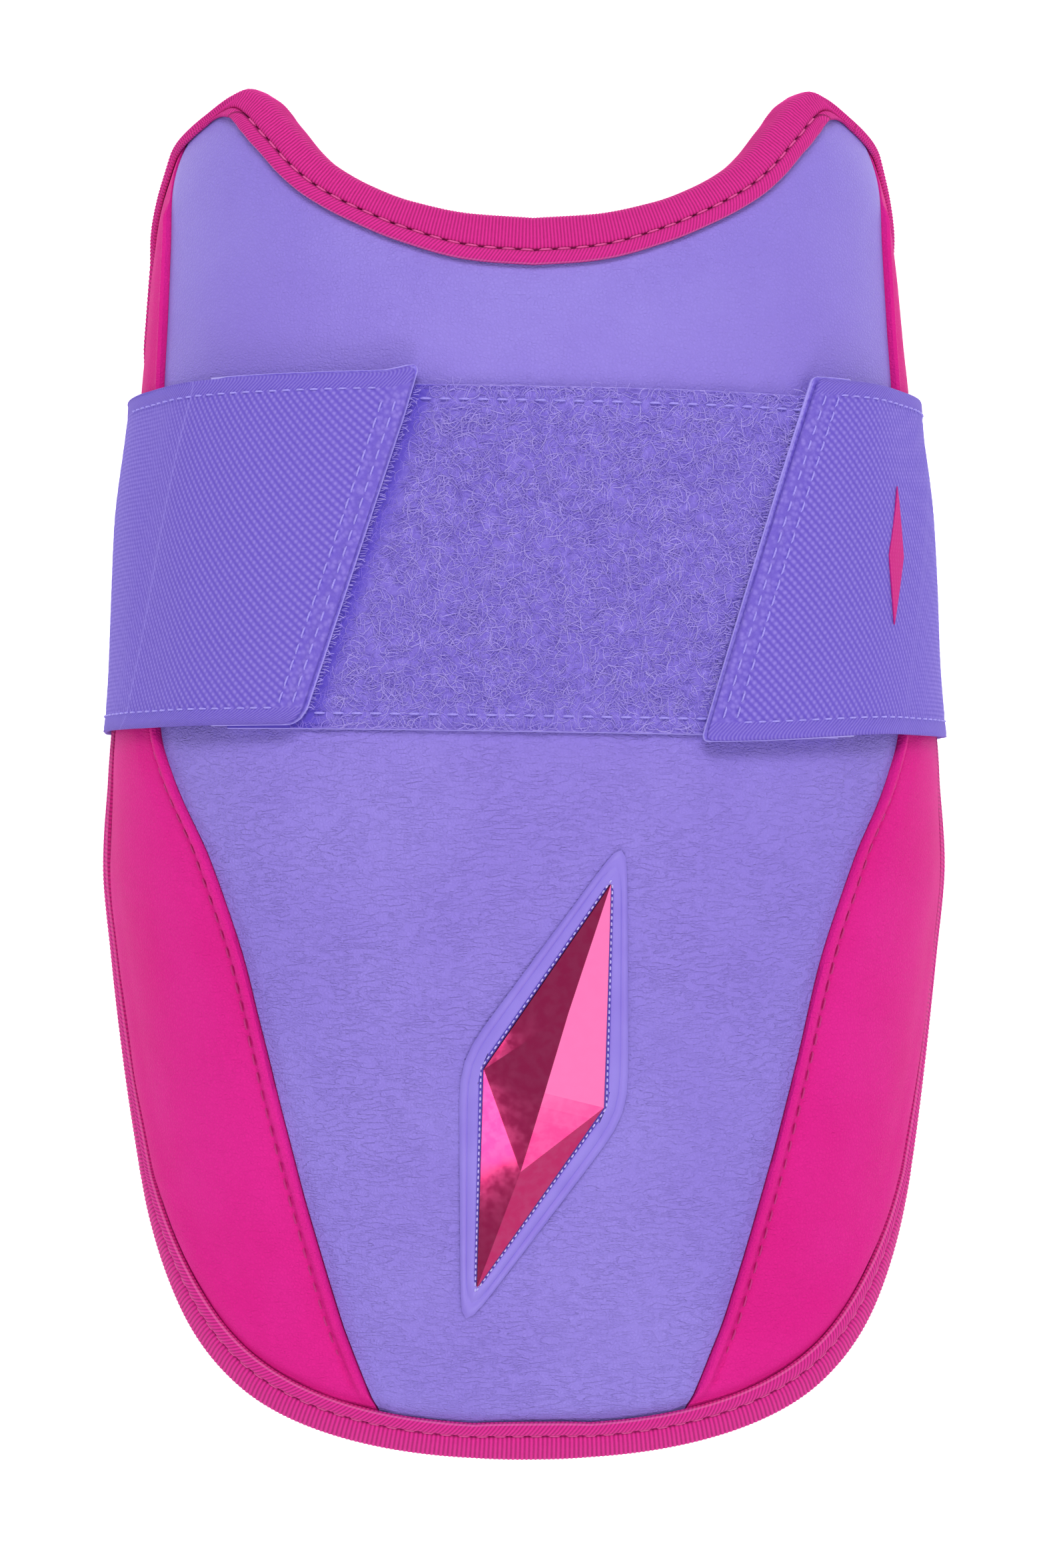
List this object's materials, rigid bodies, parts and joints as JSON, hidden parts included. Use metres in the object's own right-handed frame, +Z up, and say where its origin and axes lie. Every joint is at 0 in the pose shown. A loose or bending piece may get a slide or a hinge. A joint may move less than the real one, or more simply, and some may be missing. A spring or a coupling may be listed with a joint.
{
  "type": "batter's elbow guard",
  "caption": "Padded, leather-covered guard for a batter's elbow, with a knitted edge binding and an elastic hook-and-loop strap, lying face up.",
  "frame": {"origin": "centre of the overall box in X and Y, on the surface that the guard lies on", "axes": "+X across the guard, +Y along it towards the scooped end, +Z up out of its face"},
  "size_m": [0.1656, 0.2573, 0.0647],
  "materials": {
    "lining": "soft brushed knit lining over foam",
    "purple_leather": "soft fine-grained synthetic leather, satin",
    "pink_leather": "soft fine-grained synthetic leather, satin",
    "binding": "ribbed knitted binding tape",
    "loop": "napped loop pile",
    "hook": "moulded hook tape with a thin clear edge",
    "strap": "woven elastic webbing",
    "badge_film": "moulded film, satin",
    "badge_chrome": "tinted mirror film"
  },
  "bodies": {
    "root": {"padded_body": "lining", "front_panel": "purple_leather", "side_panel_left": "pink_leather", "side_panel_right": "pink_leather", "scoop_binding": "binding", "rim_binding": "binding", "loop_panel": "loop", "hook_patch_left": "hook", "hook_patch_right": "hook", "elastic_strap": "strap", "badge_frame": "badge_film", "badge_gem": "badge_chrome"}
  },
  "joints": []
}
